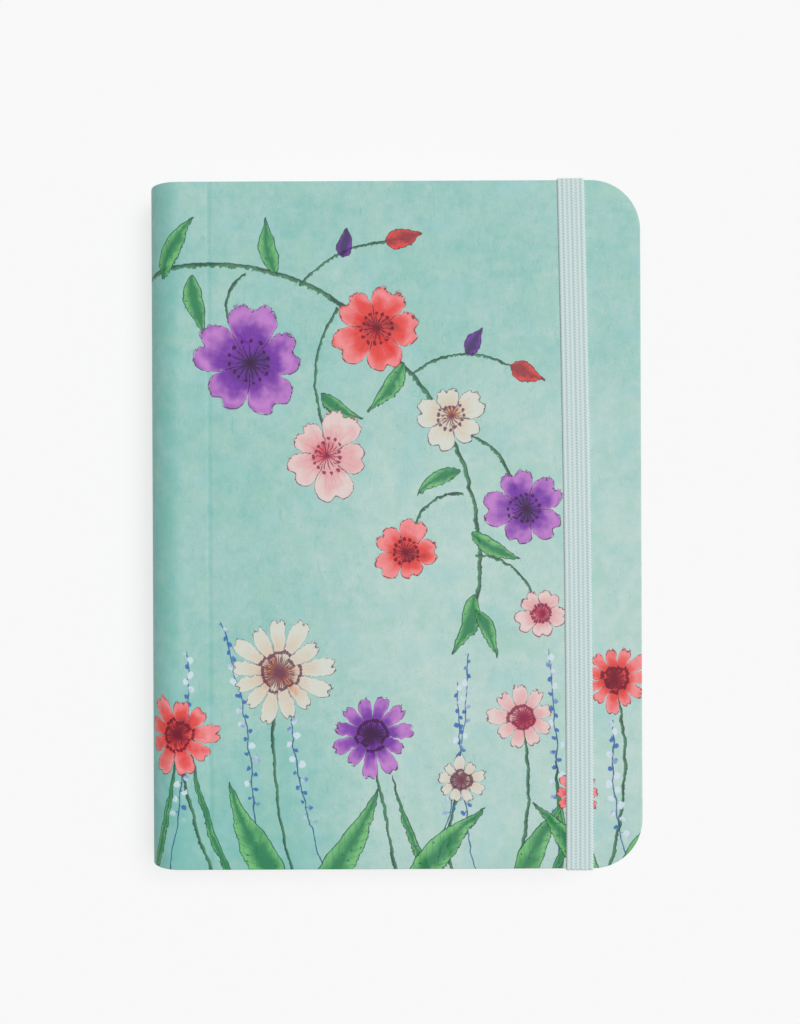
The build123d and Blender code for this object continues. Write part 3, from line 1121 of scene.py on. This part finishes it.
def front_endpaper(material):
    # The pasted endpaper, which runs on over the joint between the board and the hinge strip
    low, high = node_box("front_pastedown")
    radius = corner_radius - turn_in - fit
    left, right = strip_end + fit, board_left - fit
    roof = book_thickness - groove_depth - 2 * wrap
    thick = joint_paper
    turns = np.linspace(0, np.pi / 2, 11)
    over = np.linspace(left, right, 15)[1:-1]
    body = (-20.0, 20.0, *(high[0] - radius + radius * np.sin(turns)))
    counts = (2, len(over) + 2, len(body) + 1)
    near_x = (strip_end, left + thick, left + thick, *over, right - thick, right - thick, *body)
    near_z = np.repeat((low[2], roof - thick, low[2]), counts)
    far_x = (strip_end, left, left, *over, right, right, *body)
    far_z = np.repeat((low[2] + thick, roof, high[2]), counts)
    cut = np.concatenate((np.zeros(len(near_x) - len(turns)), radius * (1 - np.cos(turns))))
    sheet = plate(zip(near_x, near_z), zip(far_x, far_z), high[1] - cut)
    piece = new_piece("endpaper_sheet", *sheet, [material])
    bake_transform(piece)
    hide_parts("front_pastedown")


# Headbands

def headband_roll(name, material):
    # A ribbed cloth roll along the rounded back
    low, high = node_box(name)
    radius = (high[1] - low[1]) / 2
    half = front_inner - middle
    sweep = (half**2 + headband_rise**2) / (2 * headband_rise)
    centre = low[0] + radius + sweep
    reach = math.asin((half - 2 * radius) / sweep)
    angles = np.linspace(-reach, reach, 121)
    turns = np.linspace(0, 2 * np.pi, 13)[:-1]
    rings, prints = [], []
    for angle in angles:
        along = angle * sweep
        swell = radius * (0.9 + 0.1 * abs(math.sin(along * np.pi)))
        for turn in turns:
            out = sweep + swell * math.cos(turn)
            y = (low[1] + high[1]) / 2 + swell * math.sin(turn)
            rings.append((centre - out * math.cos(angle), y, middle + out * math.sin(angle)))
            prints.append((along, turn * radius))
    points, faces = loft(np.reshape(rings, (len(angles), len(turns), 3)))
    piece = new_piece(name + "_roll", points, faces, [material], prints)
    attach(piece, "case")
    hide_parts(name)


# Elastic

def rounded_path(stops, radius):
    # A path of straight runs with a quarter round at every corner
    path = [np.array(stops[0])]
    for before, corner, after in zip(stops, stops[1:], stops[2:]):
        inward = (np.array(corner) - before) / math.dist(corner, before)
        outward = (np.array(after) - corner) / math.dist(after, corner)
        centre = corner - radius * inward + radius * outward
        for turn in np.linspace(0, np.pi / 2, 13):
            path.append(centre - radius * outward * math.cos(turn) + radius * inward * math.sin(turn))
    path.append(np.array(stops[-1]))
    return np.array(path)


def band_rows():
    # Place and outward direction of every row of the elastic, in (y, z), and its length so far
    strap = half_height + strap_gap + strap_thickness / 2
    top = book_thickness + fit + elastic_thickness / 2
    tail = tail_low[2] + elastic_thickness / 2
    start = tail_low[1]
    path = rounded_path(
        ((start, tail), (strap, tail), (strap, top), (-strap, top), (-strap, tail), (-start, tail)),
        elastic_thickness * bend_share,
    )
    run = np.concatenate(([0], np.cumsum(np.linalg.norm(np.diff(path, axis=0), axis=1))))
    along = np.arange(0, run[-1], stitch_pitch / rows_per_stitch)
    rows = np.stack((np.interp(along, run, path[:, 0]), np.interp(along, run, path[:, 1])), 1)
    forward = np.gradient(rows, axis=0)
    forward /= np.linalg.norm(forward, axis=1)[:, None]
    return rows, np.stack((forward[:, 1], -forward[:, 0]), 1), along


def elastic_height(share, along, thickness):
    # Height of the knit above the elastic's middle, with ribs along it and stitches on the ribs
    zigzag = 1 - np.abs((share * elastic_ribs) % 2 - 1)
    stitch = np.sin(2 * np.pi * (along / stitch_pitch + zigzag * stitch_slant))
    ridge = np.abs(np.sin(np.pi * elastic_ribs * share))
    edge = np.abs(2 * share - 1) ** edge_sharpness
    return thickness * (elastic_crown - elastic_fall * edge) + (rib_rise + stitch_rise * stitch) * ridge


def elastic_piece(material):
    # One knitted strip between its glued ends at the head and the foot, stretched thin over the edges
    rows, outward, along = band_rows()
    upper = np.linspace(0, 1, elastic_ribs * columns_per_rib + 1)
    lower = np.linspace(1, 0, 8)
    rings, prints = [], []
    for (y, z), (out_y, out_z), run in zip(rows, outward, along):
        lift = (z - rows[0][1]) / (rows[:, 1].max() - rows[0][1])
        scallop = scallop_share * math.sin(2 * math.pi * run / stitch_pitch)
        width = band_width * (1 + spread_share * lift + scallop)
        middle_x = band_x + lift * (band_lean * y + band_bow * (1 - (y / half_height) ** 2))
        thickness = elastic_thickness + (strap_thickness - elastic_thickness) * abs(out_y)
        for share, height in (
            *zip(upper, elastic_height(upper, run, thickness)),
            *zip(lower, np.full(len(lower), -thickness / 2)),
        ):
            x = middle_x + (share - 0.5) * width
            rings.append((x, y + out_y * height, z + out_z * height))
            prints.append((share, run))
    points, faces = loft(np.reshape(rings, (len(rows), len(upper) + len(lower), 3)))
    piece = new_piece("elastic_strip", points, faces, [material], prints)
    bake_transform(piece)
    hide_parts("elastic_band", "band_tail_head", "band_tail_foot")


# The book

def dress(node, material):
    # A CAD node keeps its shape and gets a finish
    mesh = frame["nodes"][node].data
    mesh.materials.clear()
    mesh.materials.append(material)


stem_motif()
leaf_motif()
sprig_motif()
blossom_motif()
lay_bough()
lay_meadow()
nowhere = np.array((-far_off, far_off))
printed = [printed_material("printed_plain", nowhere, nowhere)]
for number, (low, high) in enumerate(area_boxes()):
    printed.append(printed_material(f"printed_area_{number}", low, high))
front_sheet = cover_sheet("printed_front", 1, printed, cover_thickness)
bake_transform(front_sheet)
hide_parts("front_wrap")
back_sheet = cover_sheet("printed_back", -1, printed, elastic_room())
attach(back_sheet, "case")
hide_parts("case_wrap")

grey_board = board_material("grey_board", ink(150, 146, 138), ink(112, 108, 102))
for node in ("front_board", "back_board", "front_hinge_strip", "back_hinge_strip"):
    dress(node, grey_board)
dress("spine_card", board_material("spine_card", ink(206, 200, 186), ink(176, 168, 152)))
endpaper = paper_material("endpaper", ink(236, 238, 230), ink(214, 222, 214))
dress("back_pastedown", endpaper)
dress("back_flyleaf", endpaper)
dress("mull", gauze_material())
dress("spine_lining", paper_material("lining_paper", ink(196, 170, 132), ink(166, 138, 100)))
front_endpaper(endpaper)
flyleaf_sheet(endpaper)

pages = paper_material("page_paper", ink(244, 242, 234), ink(224, 220, 208), ruled=True)
tab_tints = (ink(150, 200, 188), ink(186, 164, 206), ink(238, 158, 146))
index_pairs = [body[len("leaves_"):] for body in frame["bodies"] if body.startswith("leaves_")]
for order, pair in enumerate(index_pairs):
    section_sheets(pair, pages)
    page_edge = node_box("pages_" + pair)[1][0]
    dress("divider_" + pair, divider_material("divider_" + pair, tab_tints[order % 3], page_edge))
gutter_sheets(pages)

cloth = headband_material()
headband_roll("headband", cloth)
headband_roll("tailband", cloth)
elastic_piece(elastic_material())


# Camera, floor and light

def set_camera():
    data = bpy.data.cameras.new("camera")
    data.sensor_width = 36.0
    frame_height = image_height * mm_per_pixel
    data.lens = data.sensor_width * camera_height / frame_height
    camera = new_object("camera", data)
    right = (image_width / 2 - book_centre_pixel[0]) * mm_per_pixel
    up = (book_centre_pixel[1] - image_height / 2) * mm_per_pixel
    turn, rise = math.cos(camera_roll), math.sin(camera_roll)
    x = right * turn - up * rise
    y = right * rise + up * turn
    camera.location = (x * MM, y * MM, (book_thickness + camera_height) * MM)
    camera.rotation_euler = (0, 0, camera_roll)
    bpy.context.scene.camera = camera


def seen_light(tree):
    # 1 where the camera, a gloss or a clear piece looks, and 0 where light is gathered
    path = tree.nodes.new("ShaderNodeLightPath")
    seen = Field(path.outputs["Is Camera Ray"]).most(Field(path.outputs["Is Glossy Ray"]))
    return seen.most(Field(path.outputs["Is Transmission Ray"]))


def set_floor():
    # A pale floor, 16 metres wide, whose own colour shows through the shadow
    size = 8.0
    mesh = bpy.data.meshes.new("floor")
    corners = [(-size, -size, 0), (size, -size, 0), (size, size, 0), (-size, size, 0)]
    mesh.from_pydata(corners, [], [(0, 1, 2, 3)])
    material, shader, tree = new_material("floor", 0.9)
    fill(shader, Base_Color=ink(248, 248, 248), Specular_IOR_Level=0.0)
    glow = tree.nodes.new("ShaderNodeEmission")
    fill(glow, Color=ink(249, 249, 249))
    mix = tree.nodes.new("ShaderNodeMixShader")
    plug(mix.inputs[0], seen_light(tree) * 0.72)
    tree.links.new(shader.outputs[0], mix.inputs[1])
    tree.links.new(glow.outputs[0], mix.inputs[2])
    tree.links.new(mix.outputs[0], tree.nodes["Material Output"].inputs["Surface"])
    mesh.materials.append(material)
    floor = new_object("floor", mesh)


def set_lamp(name, direction, spread, strength):
    # A wide soft lamp, so far off that the floor is lit evenly
    data = bpy.data.lights.new(name, "SUN")
    data.angle = math.radians(spread)
    data.energy = strength
    lamp = new_object(name, data)
    lamp.location = direction
    lamp.rotation_euler = lamp.location.to_track_quat("Z", "Y").to_euler()


def set_world(level):
    world = bpy.data.worlds.new("studio")
    world.use_nodes = True
    tree = world.node_tree
    shade = tree.nodes["Background"]
    fill(shade, Color=ink(250, 250, 250), Strength=seen_light(tree).ramp(0.0, 1.0, level, 0.985))
    bpy.context.scene.world = world


set_camera()
set_floor()
set_lamp("key", direction=(0.8, 0.5, 1.9), spread=37.0, strength=2.3)
set_world(level=0.35)
bpy.context.scene.view_settings.view_transform = "Standard"
